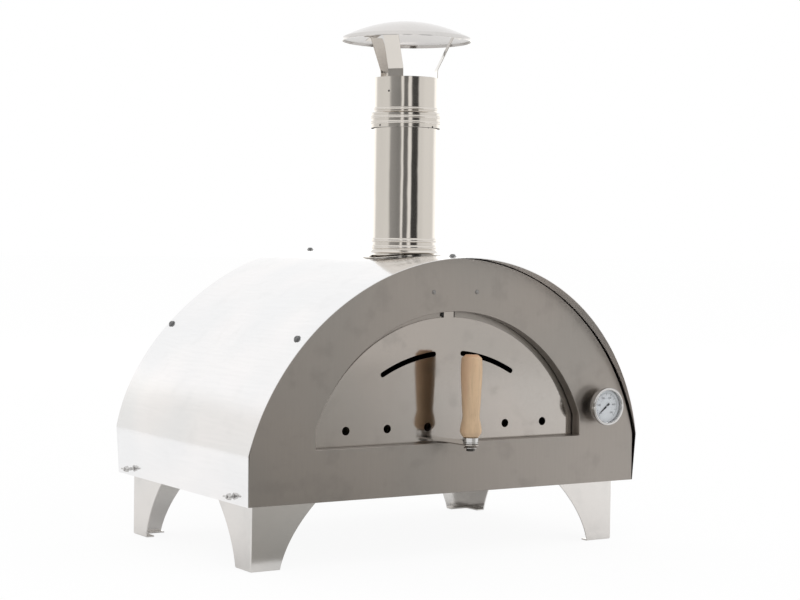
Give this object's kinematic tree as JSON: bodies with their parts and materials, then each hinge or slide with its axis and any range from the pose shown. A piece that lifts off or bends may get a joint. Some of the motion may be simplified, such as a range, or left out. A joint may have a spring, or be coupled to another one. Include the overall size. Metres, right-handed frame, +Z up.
{
  "type": "wood-fired pizza oven",
  "caption": "Round-topped stainless wood-fired pizza oven on sheet legs, with a lift-out door, a dial thermometer and a lift-off flue with a cowl.",
  "frame": {"origin": "on the ground, under the middle of the whole oven's width and depth, the handle's reach included", "axes": "+Z up, the front with its door faces -Y, +X is to the right seen from the front"},
  "size_m": [0.7242, 0.5238, 0.827],
  "materials": {
    "vault_steel": "mirror-polished thin stainless sheet",
    "panel_steel": "satin stainless sheet",
    "door_steel": "mirror-polished stainless sheet",
    "flue_steel": "bright rolled stainless tube",
    "leg_steel": "satin stainless sheet",
    "inner_steel": "plain stainless sheet",
    "catch_steel": "dark scaled steel",
    "bright_metal": "bright chrome",
    "handle_wood": "turned pale beech, oiled",
    "mineral_wool": "soft mineral wool",
    "floor_board": "pale insulating board",
    "baking_stone": "dry refractory stone",
    "dial_card": "white dial with grey marks",
    "needle_paint": "matt black",
    "dial_glass": "clear flat glass"
  },
  "bodies": {
    "oven": {"outer_vault": "vault_steel", "front_panel": "panel_steel", "rear_panel": "panel_steel", "door_catch": "catch_steel", "panel_rivet_left": "panel_steel", "panel_rivet_right": "panel_steel", "base_tray": "inner_steel", "floor_insulation": "floor_board", "floor_tile_front_left": "baking_stone", "floor_tile_front_right": "baking_stone", "floor_tile_rear_left": "baking_stone", "floor_tile_rear_right": "baking_stone", "chamber_front": "panel_steel", "inner_vault": "inner_steel", "chamber_back": "inner_steel", "insulation_blanket": "mineral_wool", "rear_insulation": "mineral_wool", "thermometer_case": "bright_metal", "thermometer_bezel": "bright_metal", "thermometer_dial": "dial_card", "thermometer_glass": "dial_glass", "thermometer_stem": "inner_steel", "thermometer_nut": "bright_metal", "flue_collar": "flue_steel", "leg_front_left": "leg_steel", "leg_stud_front_left": "bright_metal", "leg_wing_nut_front_left": "bright_metal", "leg_front_right": "leg_steel", "leg_stud_front_right": "bright_metal", "leg_wing_nut_front_right": "bright_metal", "leg_rear_left": "leg_steel", "leg_stud_rear_left": "bright_metal", "leg_wing_nut_rear_left": "bright_metal", "leg_rear_right": "leg_steel", "leg_stud_rear_right": "bright_metal", "leg_wing_nut_rear_right": "bright_metal", "vault_screw_1": "bright_metal", "vault_screw_2": "bright_metal", "vault_screw_3": "bright_metal", "vault_screw_4": "bright_metal", "vault_screw_5": "bright_metal", "vault_screw_6": "bright_metal"},
    "door": {"door_plate": "door_steel", "wooden_handle": "handle_wood", "handle_ferrule": "bright_metal", "handle_washer": "bright_metal", "handle_bolt": "bright_metal"},
    "needle": {"thermometer_needle": "needle_paint"},
    "pipe": {"flue_pipe": "flue_steel"},
    "cowl": {"cowl_sleeve": "flue_steel", "rain_cap": "flue_steel", "cowl_strap_1": "flue_steel", "cowl_strap_2": "flue_steel", "cowl_strap_3": "flue_steel"}
  },
  "joints": [
    {"name": "door_slide", "type": "slide", "parent": "oven", "child": "door", "axis": [0, -1, 0], "range_m": [0, 0.15]},
    {"name": "needle_turn", "type": "hinge", "parent": "oven", "child": "needle", "pos_m": [0.2788, -0.2001, 0.2225], "axis": [0, 1, 0], "range_deg": [-7, 256]},
    {"name": "pipe_lift", "type": "slide", "parent": "oven", "child": "pipe", "axis": [0, 0, 1], "range_m": [0, 0.06]},
    {"name": "cowl_lift", "type": "slide", "parent": "pipe", "child": "cowl", "axis": [0, 0, 1], "range_m": [0, 0.05]}
  ]
}
